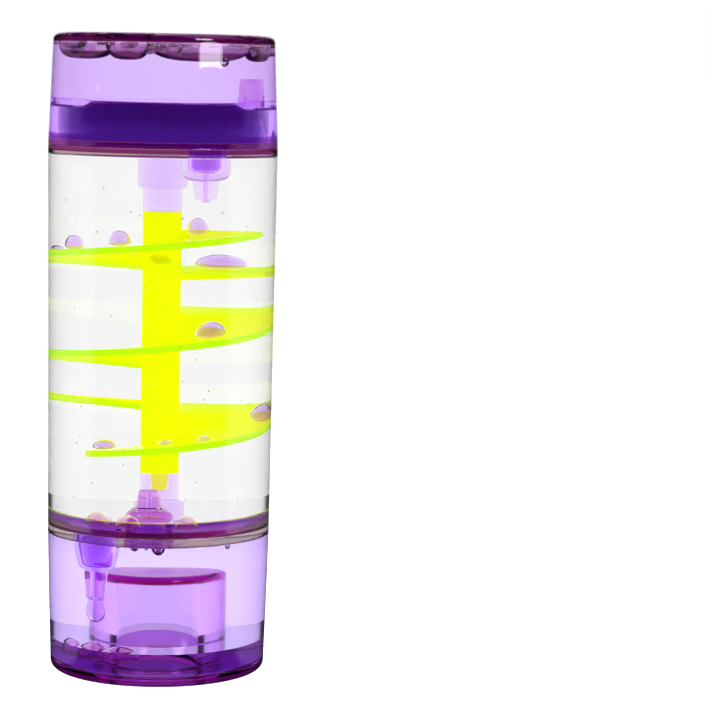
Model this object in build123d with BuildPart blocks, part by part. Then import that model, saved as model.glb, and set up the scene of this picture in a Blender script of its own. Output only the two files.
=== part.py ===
from build123d import *
import math
import os

# Liquid motion timer. +Z is up and the origin is the centre of the base. Two tinted end
# chambers and a clear tube are stacked with a divider between each, and violet drops fall
# through spouts in the dividers and roll down three short ramps round a yellow column.
# All lengths are in millimetres and all angles in degrees.

# Stack of the case, from the base up
bottom_cap_height = 31.6
divider_rim = 1.9
tube_length = 83.6
top_cap_height = 25.0

# Outer radius where the tube meets the top cap, and how much narrower the case is at its
# other levels: the tube widens upwards and both caps narrow towards their closed ends
upper_joint_radius = 26.0
lower_joint_taper = 0.75
base_taper = 1.7
top_taper = 1.05
end_round = 1.6

# Walls
cap_wall = 1.7
end_plate = 2.0
tube_wall = 1.6
register_height = 1.3
register_wall = 1.5

# Clearances
seat_gap = 0.04
liquid_gap = 0.06
drop_gap = 0.25

# Recess boss in the base and the plug that closes the filling hole in its roof
recess_radius_share = 0.3615
recess_wall = 1.2
recess_headroom = 8.3
recess_round = 1.2
plug_radius = 2.2
plug_head_radius = 3.4
plug_head = 1.0
plug_proud = 0.5

# Bosses in the middle of the dividers
boss_radius = 3.85
boss_neck_radius = 3.0
upper_boss_length = 7.4
upper_neck_length = 5.0
lower_boss_length = 5.9
lower_neck_length = 6.4
peg_radius = 1.3
peg_length = 4.8
socket_slack = 0.2

# Ramps and their column, one moulding
column_radius = 3.0
spigot_root_radius = 1.45
spigot_tip_radius = 1.15
spigot_length = 4.6
ramp_clearance = 0.65
ramp_thickness = 1.4
ramp_pitch_share = 0.1555
ramp_spacing_share = 0.268
ramp_root_share = 0.7
# Upper and lower end angle of each ramp, from the top ramp down
ramp_turns = [(-26.0, -309.0), (90.0, -270.0), (-210.0, -493.0)]
# Angle at which each ramp passes the front, where the spacing is measured
ramp_front = [-90.0, -90.0, -450.0]
middle_ramp_rise = 0.7

# Spouts: a cup in the divider with a fine tube that ends in a small hole
cup_radius_share = 0.1731
cup_wall = 0.8
cup_floor = 1.2
cup_round = 1.6
spout_root_radius = 2.35
spout_tip_radius = 1.95
hole_radius = 0.35
tip_floor = 0.7
centre_cup = 5.7
centre_spout = 9.6
centre_bore_radius = 0.45
chamber_cup = 7.1
lower_chamber_spout_share = 0.4367
upper_chamber_spout = 14.9
chamber_bore_radius = 1.05
# Places of the spouts from the axis, as shares of the case's widest radius
upper_down_spout_share = (0.2923, -0.3154)
upper_up_spout_share = (0.5115, 0.1)
lower_up_spout_share = (-0.0692, -0.4346)
lower_down_spout_share = (-0.4385, -0.3308)

# Depths of the violet liquid
bottom_pool_depth = 5.4
centre_pool_depth = 3.5
top_pool_depth = 9.0
top_pool_dome = 1.0
dome_flat_share = 0.55
dome_foot_share = 0.68

# Drops: the one below the upper spout, the one that hangs from the lower spout
ball_radius = 1.85
ball_height = 3.3
ball_reach_share = 0.4
ball_angle = -50.0
ball_travel = 3.2
hanging_radius = 2.0
hanging_length = 5.2
hanging_neck_radius = 1.3
hanging_belly_share = 0.36
# Drops on the ramps: ramp, angle, then reach, half width and height as shares of the ramp
# radius, the drop's own size following from them
rolling_drop_shares = [
    (0, -122.0, 0.66, 0.080, 0.125),
    (0, -156.0, 0.74, 0.078, 0.122),
    (0, -177.0, 0.80, 0.062, 0.085),
    (0, -262.0, 0.58, 0.070, 0.095),
    (0, -296.0, 0.70, 0.115, 0.110),
    (1, -52.0, 0.66, 0.125, 0.120),
    (2, -372.0, 0.78, 0.150, 0.150),
    (2, -440.0, 0.60, 0.036, 0.030),
    (2, -484.0, 0.72, 0.105, 0.090),
]
# Flat domes of drops that have not yet merged: angle, then reach, half width and height
# as shares of the chamber's radius
centre_dome_shares = [
    (-137.0, 0.80, 0.100, 0.085),
    (-111.0, 0.86, 0.105, 0.080),
    (-122.0, 0.73, 0.050, 0.045),
]
bottom_dome_shares = [
    (-158.0, 0.84, 0.090, 0.090),
    (-138.0, 0.82, 0.125, 0.105),
    (-115.0, 0.78, 0.165, 0.100),
]
# Air under the top plate and below the lower divider, in the same terms
ceiling_bubble_shares = [
    (-152.0, 0.70, 0.240, 0.170),
    (-120.0, 0.72, 0.150, 0.165),
    (-97.0, 0.70, 0.090, 0.100),
    (-68.0, 0.62, 0.260, 0.165),
    (-28.0, 0.76, 0.130, 0.165),
    (-48.0, 0.88, 0.048, 0.180),
    (60.0, 0.60, 0.220, 0.150),
    (130.0, 0.55, 0.200, 0.140),
]
divider_bubble_shares = [
    (-90.0, 0.80, 0.062, 0.055),
    (-47.0, 0.90, 0.030, 0.034),
    (-104.0, 0.86, 0.030, 0.026),
    (-109.0, 0.87, 0.028, 0.029),
    (-114.0, 0.88, 0.030, 0.030),
]

# Radii that follow from the case
lower_joint_radius = upper_joint_radius - lower_joint_taper
base_radius = upper_joint_radius - base_taper
top_radius = upper_joint_radius - top_taper
ramp_radius = lower_joint_radius - tube_wall - ramp_clearance
recess_radius = upper_joint_radius * recess_radius_share
cup_radius = upper_joint_radius * cup_radius_share
ball_reach = upper_joint_radius * ball_reach_share

# Rise of a ramp in one turn and the height from one ramp to the next
ramp_pitch = tube_length * ramp_pitch_share
ramp_spacing = tube_length * ramp_spacing_share

# Heights that follow from the stack
lower_divider_z = bottom_cap_height
tube_z = lower_divider_z + divider_rim
upper_divider_z = tube_z + tube_length
top_cap_z = upper_divider_z + divider_rim
total_height = top_cap_z + top_cap_height
ceiling_z = total_height - end_plate
recess_top = bottom_cap_height - recess_headroom
recess_roof = recess_top - recess_wall
lower_chamber_spout = bottom_cap_height * lower_chamber_spout_share
column_foot = tube_z + lower_boss_length + lower_neck_length
column_head = upper_divider_z - upper_boss_length - upper_neck_length
middle_ramp_z = (tube_z + upper_divider_z) / 2 - middle_ramp_rise
bottom_pool_z = end_plate + bottom_pool_depth
centre_pool_z = tube_z + centre_pool_depth
top_pool_z = top_cap_z + top_pool_depth


def spout_place(shares):
    """Where a spout stands, from its shares of the case's widest radius."""
    return tuple(upper_joint_radius * share for share in shares)


upper_down_spout_place = spout_place(upper_down_spout_share)
upper_up_spout_place = spout_place(upper_up_spout_share)
lower_up_spout_place = spout_place(lower_up_spout_share)
lower_down_spout_place = spout_place(lower_down_spout_share)


def bottom_radius(z):
    """Outer radius of the bottom cap at a height."""
    return base_radius + (lower_joint_radius - base_radius) * z / bottom_cap_height


def tube_radius(z):
    """Outer radius of the tube at a height."""
    rise = (z - tube_z) / tube_length
    return lower_joint_radius + (upper_joint_radius - lower_joint_radius) * rise


def cap_radius(z):
    """Outer radius of the top cap at a height."""
    rise = (z - top_cap_z) / top_cap_height
    return upper_joint_radius + (top_radius - upper_joint_radius) * rise


def ramp_z(ramp, angle):
    """Height of a ramp's underside at an angle."""
    front_z = middle_ramp_z + (1 - ramp) * ramp_spacing
    return front_z + ramp_pitch * (angle - ramp_front[ramp]) / 360


def turn(points, mode=Mode.ADD):
    """Spin a half section, given as radius and height, about the centre line."""
    with BuildSketch(Plane.XZ) as section:
        with BuildLine():
            Polyline(*points, close=True)
        make_face()
    revolve(section.sketch, axis=Axis.Z, mode=mode)


def save(piece, name):
    """Name a finished piece and write it."""
    piece.part.label = name
    export_step(piece.part, f"parts/{name}.step")


# Bottom cap: a cup with a rounded foot and a deep recess boss, open underneath
with BuildPart() as bottom_cap:
    turn([
        (0, 0),
        (base_radius, 0),
        (lower_joint_radius, bottom_cap_height),
        (0, bottom_cap_height),
    ])
    fillet(bottom_cap.edges().group_by(Axis.Z)[0], end_round)
    turn([
        (0, end_plate),
        (bottom_radius(end_plate) - cap_wall, end_plate),
        (lower_joint_radius - cap_wall, bottom_cap_height),
        (0, bottom_cap_height),
    ], Mode.SUBTRACT)
    with BuildSketch(Plane.XY):
        Circle(recess_radius + recess_wall)
    extrude(amount=recess_top)
    roof_edge = bottom_cap.edges().filter_by(GeomType.CIRCLE).filter_by_position(
        Axis.Z, recess_top - seat_gap, recess_top + seat_gap)
    fillet(roof_edge, recess_round)
    with BuildSketch(Plane.XY):
        Circle(recess_radius)
    extrude(amount=recess_roof, mode=Mode.SUBTRACT)
    with Locations((0, 0, recess_top)):
        Hole(plug_radius + seat_gap)
save(bottom_cap, "bottom_cap")

# Fill plug: a headed plug pushed up into the recess roof once the case is full
with BuildPart() as fill_plug:
    with BuildSketch(Plane.XY.offset(recess_roof - plug_head - seat_gap)):
        Circle(plug_head_radius)
    extrude(amount=plug_head)
    with BuildSketch(Plane.XY.offset(recess_roof - seat_gap)):
        Circle(plug_radius)
    extrude(amount=recess_wall + plug_proud)
    chamfer(fill_plug.edges().group_by(Axis.Z)[-1], plug_proud / 2)
save(fill_plug, "fill_plug")

# Centre tube: clear, and a little wider at its upper end
with BuildPart() as centre_tube:
    turn([
        (lower_joint_radius - tube_wall, tube_z),
        (lower_joint_radius, tube_z),
        (upper_joint_radius, upper_divider_z),
        (upper_joint_radius - tube_wall, upper_divider_z),
    ])
save(centre_tube, "centre_tube")

# Top cap: a cup turned over, with the same rounded edge as the base
with BuildPart() as top_cap:
    turn([
        (0, top_cap_z),
        (upper_joint_radius, top_cap_z),
        (top_radius, total_height),
        (0, total_height),
    ])
    fillet(top_cap.edges().group_by(Axis.Z)[-1], end_round)
    turn([
        (0, top_cap_z),
        (upper_joint_radius - cap_wall, top_cap_z),
        (cap_radius(ceiling_z) - cap_wall, ceiling_z),
        (0, ceiling_z),
    ], Mode.SUBTRACT)
save(top_cap, "top_cap")


# The rings of the dividers fit inside the tube and inside the top cap
lower_register_radius = tube_radius(tube_z) - tube_wall - seat_gap
upper_register_radius = cap_radius(top_cap_z + register_height) - cap_wall - seat_gap


def divider_disc(z, rim_radius, register_radius):
    """Disc between two parts of the case, with a ring that centres the part above."""
    with BuildSketch(Plane.XY.offset(z)) as disc:
        Circle(rim_radius)
    extrude(disc.sketch, amount=divider_rim)
    with BuildSketch(Plane.XY.offset(z + divider_rim)) as ring:
        Circle(register_radius)
        Circle(register_radius - register_wall, mode=Mode.SUBTRACT)
    extrude(ring.sketch, amount=register_height)


def spout_holes(*places):
    """Round seats of the spouts, through the divider."""
    for x, y in places:
        with Locations((x, y, 0)):
            Cylinder(
                cup_radius + seat_gap,
                total_height,
                align=(Align.CENTER, Align.CENTER, Align.MIN),
                mode=Mode.SUBTRACT,
            )


# Lower divider: its boss stands up and has a tapered socket for the ramps' spigot
with BuildPart() as lower_divider:
    divider_disc(lower_divider_z, lower_joint_radius, lower_register_radius)
    spout_holes(lower_up_spout_place, lower_down_spout_place)
    with BuildSketch(Plane.XY.offset(tube_z)):
        Circle(boss_radius)
    extrude(amount=lower_boss_length)
    with BuildSketch(Plane.XY.offset(tube_z + lower_boss_length)):
        Circle(boss_neck_radius)
    extrude(amount=lower_neck_length)
    turn([
        (0, column_foot - spigot_length - socket_slack),
        (spigot_tip_radius + seat_gap, column_foot - spigot_length - socket_slack),
        (spigot_root_radius + seat_gap, column_foot),
        (0, column_foot),
    ], Mode.SUBTRACT)
save(lower_divider, "lower_divider")

# Upper divider: its boss hangs down and ends in a peg that goes into the column
with BuildPart() as upper_divider:
    divider_disc(upper_divider_z, upper_joint_radius, upper_register_radius)
    spout_holes(upper_up_spout_place, upper_down_spout_place)
    with BuildSketch(Plane.XY.offset(upper_divider_z)):
        Circle(boss_radius)
    extrude(amount=-upper_boss_length)
    with BuildSketch(Plane.XY.offset(upper_divider_z - upper_boss_length)):
        Circle(boss_neck_radius)
    extrude(amount=-upper_neck_length)
    with BuildSketch(Plane.XY.offset(column_head)):
        Circle(peg_radius)
    extrude(amount=-peg_length)
save(upper_divider, "upper_divider")

# Inner edge of the ramps, just inside the column
ramp_root = column_radius * ramp_root_share


def ramp_blank(climb_angle):
    """One ramp that starts over +X at height zero and climbs through an angle."""
    with BuildPart() as blank:
        with BuildLine():
            path = Helix(
                pitch=ramp_pitch, height=ramp_pitch * climb_angle / 360, radius=ramp_root)
        with BuildSketch(Plane.XZ):
            with Locations((ramp_root, 0)):
                Rectangle(
                    ramp_radius - ramp_root,
                    ramp_thickness,
                    align=(Align.MIN, Align.MIN),
                )
        sweep(path=path, is_frenet=True)
    return blank.part


ramps = [ramp_blank(start - end) for start, end in ramp_turns]

# Spiral ramp: column, socket, spigot and the three ramps in one moulding
with BuildPart() as spiral_ramp:
    with BuildSketch(Plane.XY.offset(column_foot + seat_gap)):
        Circle(column_radius)
    extrude(amount=column_head - column_foot - 2 * seat_gap)
    for ramp, (start, end) in enumerate(ramp_turns):
        with Locations(Location((0, 0, ramp_z(ramp, end)), (0, 0, end))):
            add(ramps[ramp])
    with Locations((0, 0, column_head - seat_gap)):
        Hole(peg_radius + seat_gap, depth=peg_length + socket_slack)
    turn([
        (0, column_foot + seat_gap),
        (spigot_root_radius, column_foot + seat_gap),
        (spigot_tip_radius, column_foot - spigot_length),
        (0, column_foot - spigot_length),
    ])
save(spiral_ramp, "spiral_ramp")


def spout_plane(place, z, down):
    """Plane of a spout's half section: X is the radius, Y runs from cup to tip."""
    return Plane(origin=(*place, z), x_dir=(1, 0, 0), z_dir=(0, 1 if down else -1, 0))


def spout_section(plane, cup, reach, bore, shrink=0.0):
    """Half section of the hollow in a spout: cup, bore and the small hole at the tip."""
    inner = cup_radius - cup_wall - shrink
    floor = cup - cup_floor - shrink
    with BuildSketch(plane) as section:
        with BuildLine():
            Polyline(
                (0, 0),
                (inner, 0),
                (inner, floor - cup_round + cup_wall),
                (inner - cup_round + cup_wall, floor),
                (bore - shrink, floor),
                (bore - shrink, reach - tip_floor - shrink),
                (0, reach - tip_floor - shrink),
                close=True,
            )
        make_face()
    return section


def make_spout(place, z, down, cup, reach, bore):
    """A spout whose open end is level with the divider's face at z."""
    plane = spout_plane(place, z, down)
    axis = Axis((*place, z), (0, 0, 1))
    cup_end = divider_rim + cup
    tip = divider_rim + reach
    with BuildPart() as spout:
        with BuildSketch(plane):
            with BuildLine():
                Line((0, 0), (cup_radius, 0))
                Line((cup_radius, 0), (cup_radius, cup_end - cup_round))
                RadiusArc(
                    (cup_radius, cup_end - cup_round),
                    (cup_radius - cup_round, cup_end),
                    -cup_round,
                )
                Line((cup_radius - cup_round, cup_end), (spout_root_radius, cup_end))
                Line((spout_root_radius, cup_end), (spout_tip_radius, tip))
                Line((spout_tip_radius, tip), (0, tip))
                Line((0, tip), (0, 0))
            make_face()
        revolve(axis=axis)
        hollow = spout_section(plane, cup_end, tip, bore)
        revolve(hollow.sketch, axis=axis, mode=Mode.SUBTRACT)
        with BuildSketch(plane):
            Rectangle(hole_radius, tip, align=(Align.MIN, Align.MIN))
        revolve(axis=axis, mode=Mode.SUBTRACT)
    return spout


def spout_fill(place, z, down, cup, reach, bore):
    """The liquid that stands in a spout, open to the divider's face at z."""
    hollow = spout_section(
        spout_plane(place, z, down), divider_rim + cup, divider_rim + reach, bore, liquid_gap)
    revolve(hollow.sketch, axis=Axis((*place, z), (0, 0, 1)))


lower_up = (lower_up_spout_place, lower_divider_z, False, centre_cup, centre_spout,
            centre_bore_radius)
lower_down = (lower_down_spout_place, tube_z, True, chamber_cup, lower_chamber_spout,
              chamber_bore_radius)
upper_up = (upper_up_spout_place, upper_divider_z, False, chamber_cup, upper_chamber_spout,
            chamber_bore_radius)
upper_down = (upper_down_spout_place, top_cap_z, True, centre_cup, centre_spout,
              centre_bore_radius)

lower_up_spout = make_spout(*lower_up)
save(lower_up_spout, "lower_up_spout")
lower_down_spout = make_spout(*lower_down)
save(lower_down_spout, "lower_down_spout")
upper_up_spout = make_spout(*upper_up)
save(upper_up_spout, "upper_up_spout")
upper_down_spout = make_spout(*upper_down)
save(upper_down_spout, "upper_down_spout")


def upright(plane):
    """The plane of a half section that stands on another plane."""
    return Plane(origin=plane.origin, x_dir=plane.x_dir, z_dir=-plane.y_dir)


def dome(plane, radius, height):
    """A flattened ball that touches a plane."""
    with BuildSketch(upright(plane)) as section:
        with BuildLine():
            Spline((0, 0), (radius, height / 2), (0, height), tangents=[(1, 0), (-1, 0)])
            Line((0, height), (0, 0))
        make_face()
    revolve(section.sketch, axis=Axis(plane.origin, plane.z_dir))


def half_dome(plane, radius, height):
    """The upper half of a flattened ball, with its flat face on the plane."""
    with BuildSketch(upright(plane)) as section:
        with BuildLine():
            Spline((radius, 0), (0, height), tangents=[(0, 1), (-1, 0)])
            Line((0, height), (0, 0))
            Line((0, 0), (radius, 0))
        make_face()
    revolve(section.sketch, axis=Axis(plane.origin, plane.z_dir))


def round_place(angle, reach, z, up=1):
    """Level plane at an angle and distance from the axis, facing up or down."""
    turn = math.radians(angle)
    origin = (reach * math.cos(turn), reach * math.sin(turn), z)
    return Plane(origin=origin, x_dir=(1, 0, 0), z_dir=(0, 0, up))


def ramp_place(ramp, angle, reach):
    """Plane on a ramp's upper face, leaning with its slope."""
    turn = math.radians(angle)
    slope = ramp_pitch / (2 * math.pi * reach)
    outward = Vector(math.cos(turn), math.sin(turn), 0)
    normal = Vector(slope * math.sin(turn), -slope * math.cos(turn), 1).normalized()
    seat = outward * reach + Vector(0, 0, ramp_z(ramp, angle) + ramp_thickness)
    return Plane(origin=seat + normal * drop_gap, x_dir=outward, z_dir=normal)


# Drop that has just fallen from the upper spout onto the top ramp
with BuildPart() as falling_drop:
    dome(ramp_place(0, ball_angle, ball_reach), ball_radius, ball_height)
save(falling_drop, "falling_drop")

# Drops that roll down the ramps
with BuildPart() as rolling_drops:
    for ramp, angle, reach_share, width_share, height_share in rolling_drop_shares:
        place = ramp_place(ramp, angle, ramp_radius * reach_share)
        dome(place, ramp_radius * width_share, ramp_radius * height_share)
save(rolling_drops, "rolling_drops")

# Drop that hangs from the lower spout, a pear shape with its neck at the tip
hanging_top = lower_divider_z - lower_chamber_spout - liquid_gap
hanging_belly_z = hanging_top - hanging_length * (1 - hanging_belly_share)
with BuildPart() as hanging_drop:
    with BuildSketch(spout_plane(lower_down_spout_place, hanging_top, True)):
        belly = hanging_top - hanging_belly_z
        with BuildLine():
            Line((0, 0), (hanging_neck_radius, 0))
            Spline(
                (hanging_neck_radius, 0),
                (hanging_radius, belly),
                (0, hanging_length),
                tangents=[(0, 1), (-1, 0)],
            )
            Line((0, hanging_length), (0, 0))
        make_face()
    revolve(axis=Axis((*lower_down_spout_place, hanging_top), (0, 0, 1)))
save(hanging_drop, "hanging_drop")

# Domes of drops that still stand on the pools
centre_reach = lower_joint_radius - tube_wall
with BuildPart() as pool_drops_centre:
    for angle, reach_share, width_share, height_share in centre_dome_shares:
        place = round_place(angle, centre_reach * reach_share, centre_pool_z)
        half_dome(place, centre_reach * width_share, centre_reach * height_share)
save(pool_drops_centre, "pool_drops_centre")

bottom_reach = base_radius - cap_wall
with BuildPart() as pool_drops_bottom:
    for angle, reach_share, width_share, height_share in bottom_dome_shares:
        place = round_place(angle, bottom_reach * reach_share, bottom_pool_z)
        half_dome(place, bottom_reach * width_share, bottom_reach * height_share)
save(pool_drops_bottom, "pool_drops_bottom")

# Air that has gathered under the top plate and under the lower divider
ceiling_reach = top_radius - cap_wall
with BuildPart() as ceiling_bubbles:
    for angle, reach_share, width_share, height_share in ceiling_bubble_shares:
        place = round_place(angle, ceiling_reach * reach_share, ceiling_z, -1)
        half_dome(place, ceiling_reach * width_share, ceiling_reach * height_share)
save(ceiling_bubbles, "ceiling_bubbles")

with BuildPart() as divider_bubbles:
    for angle, reach_share, width_share, height_share in divider_bubble_shares:
        place = round_place(angle, bottom_reach * reach_share, lower_divider_z, -1)
        half_dome(place, bottom_reach * width_share, bottom_reach * height_share)
save(divider_bubbles, "divider_bubbles")


def liquid_body(low, low_radius, high, high_radius):
    """Liquid that fills the case between two heights, short of its walls."""
    turn([
        (0, low),
        (low_radius - liquid_gap, low),
        (high_radius - liquid_gap, high),
        (0, high),
    ])


def post(radius, low, high, place=(0, 0)):
    """Round post cut out of a liquid where a boss or a spout stands in it."""
    with Locations((*place, low)):
        Cylinder(
            radius + liquid_gap,
            high - low,
            align=(Align.CENTER, Align.CENTER, Align.MIN),
            mode=Mode.SUBTRACT,
        )


def spout_posts(spout, divider_face, direction):
    """Room in a liquid for the cup and tube of a spout beyond the divider."""
    place, _, _, cup, reach, _ = spout
    for radius, length in ((cup_radius, cup), (spout_root_radius, reach)):
        far = divider_face + direction * (length + liquid_gap)
        post(radius, min(divider_face, far), max(divider_face, far), place)


# Violet pools: the dyed liquid that lies on the base and on both dividers
with BuildPart() as violet_pool_bottom:
    liquid_body(
        end_plate, bottom_radius(end_plate) - cap_wall,
        bottom_pool_z, bottom_radius(bottom_pool_z) - cap_wall)
    post(recess_radius + recess_wall, end_plate, bottom_pool_z)
save(violet_pool_bottom, "violet_pool_bottom")

with BuildPart() as violet_pool_centre:
    register_edge = lower_register_radius - register_wall
    register_top = tube_z + register_height
    turn([
        (0, tube_z),
        (register_edge - liquid_gap, tube_z),
        (register_edge - liquid_gap, register_top),
        (tube_radius(register_top) - tube_wall - liquid_gap, register_top),
        (tube_radius(centre_pool_z) - tube_wall - liquid_gap, centre_pool_z),
        (0, centre_pool_z),
    ])
    post(boss_radius, tube_z, centre_pool_z)
    post(cup_radius, tube_z, centre_pool_z, lower_up_spout_place)
    spout_fill(*lower_down)
save(violet_pool_centre, "violet_pool_centre")

with BuildPart() as violet_pool_top:
    register_edge = upper_register_radius - register_wall
    register_top = top_cap_z + register_height
    shoulder_z = top_pool_z - top_pool_dome
    pool_edge = cap_radius(shoulder_z) - cap_wall - liquid_gap
    turn([
        (0, top_cap_z),
        (register_edge - liquid_gap, top_cap_z),
        (register_edge - liquid_gap, register_top),
        (cap_radius(register_top) - cap_wall - liquid_gap, register_top),
        (pool_edge, shoulder_z),
        (pool_edge * dome_foot_share, shoulder_z),
        (pool_edge * dome_flat_share, top_pool_z),
        (0, top_pool_z),
    ])
    spout_posts(upper_up, top_cap_z, 1)
    spout_fill(*upper_down)
save(violet_pool_top, "violet_pool_top")

# Clear oil: it fills what the violet liquid, the drops and the air leave free
with BuildPart() as clear_oil_bottom:
    liquid_body(
        bottom_pool_z, bottom_radius(bottom_pool_z) - cap_wall,
        lower_divider_z, lower_joint_radius - cap_wall)
    post(recess_radius + recess_wall, bottom_pool_z, recess_top)
    post(plug_radius, recess_top, recess_top + plug_proud)
    spout_posts(lower_down, lower_divider_z, -1)
    spout_fill(*lower_up)
    for cavity in (hanging_drop, pool_drops_bottom, divider_bubbles):
        add(cavity.part, mode=Mode.SUBTRACT)
save(clear_oil_bottom, "clear_oil_bottom")

with BuildPart() as clear_oil_centre:
    liquid_body(
        centre_pool_z, tube_radius(centre_pool_z) - tube_wall,
        upper_divider_z, upper_joint_radius - tube_wall)
    post(boss_radius, centre_pool_z, tube_z + lower_boss_length)
    post(boss_neck_radius, centre_pool_z, column_foot + liquid_gap)
    post(column_radius, column_foot, column_head)
    post(boss_neck_radius, column_head - liquid_gap, upper_divider_z)
    post(boss_radius, upper_divider_z - upper_boss_length - liquid_gap, upper_divider_z)
    spout_posts(lower_up, tube_z, 1)
    spout_posts(upper_down, upper_divider_z, -1)
    spout_fill(*upper_up)
    for cavity in (spiral_ramp, falling_drop, rolling_drops, pool_drops_centre):
        add(cavity.part, mode=Mode.SUBTRACT)
save(clear_oil_centre, "clear_oil_centre")

with BuildPart() as clear_oil_top:
    turn([
        (0, top_pool_z),
        (pool_edge * dome_flat_share, top_pool_z),
        (pool_edge * dome_foot_share, shoulder_z),
        (pool_edge, shoulder_z),
        (cap_radius(ceiling_z) - cap_wall - liquid_gap, ceiling_z),
        (0, ceiling_z),
    ])
    spout_posts(upper_up, top_cap_z, 1)
    add(ceiling_bubbles.part, mode=Mode.SUBTRACT)
save(clear_oil_top, "clear_oil_top")

fall_room = hanging_top - hanging_length - bottom_pool_z
print(f"height {total_height:.2f}, widest diameter {2 * upper_joint_radius:.2f}")
print(f"ball travel {ball_travel:.2f} turns the drops {360 * ball_travel / ramp_pitch:.1f} degrees")
print(f"hanging drop has {fall_room:.2f} to fall")
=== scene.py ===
# %% [markdown]
# # A liquid motion timer, built in Blender
# The object is a clear upright tube between two tinted end chambers. Dyed water falls in
# drops through clear oil, lands on yellow ramps and rolls down them. Nearly all of it is
# seen through curved plastic and liquid, so the lesson is mostly about nested glass: which
# surface touches what, and which index of refraction each one gets.
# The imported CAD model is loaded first, as the frame that every piece is built around.

# %% Load the frame
import math
import random

import bmesh
import bpy
from mathutils import Matrix, Vector


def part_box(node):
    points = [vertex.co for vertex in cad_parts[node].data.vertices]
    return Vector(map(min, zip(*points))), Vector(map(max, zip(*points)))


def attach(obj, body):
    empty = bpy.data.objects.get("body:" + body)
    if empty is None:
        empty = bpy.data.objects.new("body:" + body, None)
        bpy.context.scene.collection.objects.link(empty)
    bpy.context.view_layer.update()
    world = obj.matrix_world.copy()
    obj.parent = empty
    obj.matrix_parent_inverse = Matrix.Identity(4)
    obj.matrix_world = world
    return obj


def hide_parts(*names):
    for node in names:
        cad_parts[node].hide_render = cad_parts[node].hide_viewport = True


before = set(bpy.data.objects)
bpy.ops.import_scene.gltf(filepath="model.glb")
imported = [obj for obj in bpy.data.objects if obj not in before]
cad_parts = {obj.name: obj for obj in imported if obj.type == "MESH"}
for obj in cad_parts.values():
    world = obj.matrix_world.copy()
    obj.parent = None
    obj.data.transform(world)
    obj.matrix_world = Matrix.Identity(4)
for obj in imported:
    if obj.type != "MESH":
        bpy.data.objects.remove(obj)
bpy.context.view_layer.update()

scene = bpy.context.scene
MM = 0.001

# %% [markdown]
# ## The levels of the case
# The case is a stack, and its joints are where the CAD nodes end. Reading them from the
# frame keeps the Blender pieces on the solids. Everything below is in millimetres from the
# centre of the base, and is turned into metres once, where a mesh is finished.

# %% Levels and radii


def span(node):
    """Lowest and highest point of a CAD node, and its radius, in millimetres."""
    low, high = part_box(node)
    return low.z / MM, high.z / MM, high.x / MM


base_z, lower_joint_z, lower_radius = span("bottom_cap")
tube_z, tube_top_z, upper_radius = span("centre_tube")
cap_z, top_z, _ = span("top_cap")
base_taper, top_taper = 0.95, 1.05
base_radius, top_radius = lower_radius - base_taper, upper_radius - top_taper
wall, tube_wall, plate = 1.7, 1.6, 2.0
# How far a liquid reaches into what holds it, so that light is bent once and not twice
LAP = 0.05
# Gap that keeps two mouldings from sharing a face
SEAM = 0.02
print(f"joints at {lower_joint_z:.2f} {tube_z:.2f} {tube_top_z:.2f} {cap_z:.2f}, top {top_z:.2f}")


def between(z, low, high, at_low, at_high):
    """A value that runs evenly from one height to another."""
    return at_low + (at_high - at_low) * (z - low) / (high - low)


def base_wall_radius(z):
    """Inner radius of the bottom cap."""
    return between(z, base_z, lower_joint_z, base_radius, lower_radius) - wall


def tube_wall_radius(z):
    """Inner radius of the tube."""
    return between(z, tube_z, tube_top_z, lower_radius, upper_radius) - tube_wall


def cap_wall_radius(z):
    """Inner radius of the top cap."""
    return between(z, cap_z, top_z, upper_radius, top_radius) - wall


# %% [markdown]
# ## Shader sums as plain Python
# The finishes below are sums of patterns. One small class wraps a socket, so that `1 - mask`
# adds a Math node, and one method adds any other node.

# %% Sockets with arithmetic


class Flow:
    """A value in a node tree. Sums with it add Math nodes."""

    def __init__(self, finish, socket):
        self.finish, self.socket = finish, socket

    def sum(self, operation, first, second=None):
        values = [first] if second is None else [first, second]
        node = self.finish.node("ShaderNodeMath", {"operation": operation}, dict(enumerate(values)))
        return Flow(self.finish, node.outputs[0])

    def __add__(self, other):
        return self.sum("ADD", self, other)

    def __radd__(self, other):
        return self.sum("ADD", other, self)

    def __rsub__(self, other):
        return self.sum("SUBTRACT", other, self)

    def __mul__(self, other):
        return self.sum("MULTIPLY", self, other)

    def __rmul__(self, other):
        return self.sum("MULTIPLY", other, self)

    def __gt__(self, other):
        return self.sum("GREATER_THAN", self, other)

    def size(self):
        return self.sum("ABSOLUTE", self)


class Finish:
    """A material or a world, with its node tree."""

    def __init__(self, holder):
        self.holder = holder
        holder.use_nodes = True
        self.tree = holder.node_tree
        self.tree.nodes.clear()

    def node(self, kind, settings=None, sockets=None):
        """Any node: its settings first, then values or links for its sockets."""
        made = self.tree.nodes.new(kind)
        for key, value in (settings or {}).items():
            setattr(made, key, value)
        for key, value in (sockets or {}).items():
            socket = value.socket if isinstance(value, Flow) else value
            if isinstance(socket, bpy.types.NodeSocket):
                self.tree.links.new(socket, made.inputs[key])
            else:
                made.inputs[key].default_value = value
        return made

    def out(self, kind, output=0, settings=None, sockets=None):
        """The same, but gives one of the node's outputs as a Flow."""
        return Flow(self, self.node(kind, settings, sockets).outputs[output])

    def smooth(self, value, low, high):
        """0 below low, 1 above high, and a soft step between."""
        settings = {"interpolation_type": "SMOOTHSTEP"}
        return self.out("ShaderNodeMapRange", 0, settings,
                        {"Value": value, "From Min": low, "From Max": high})

    def band(self, value, low, high):
        """1 between two soft steps, each given as the pair of values where it runs."""
        return self.smooth(value, *low) * (1 - self.smooth(value, *high))

    def colour(self, factor, first, second):
        """A colour between two others."""
        return self.out("ShaderNodeMix", 2, {"data_type": "RGBA"},
                        {0: factor, 6: first, 7: second})


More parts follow.
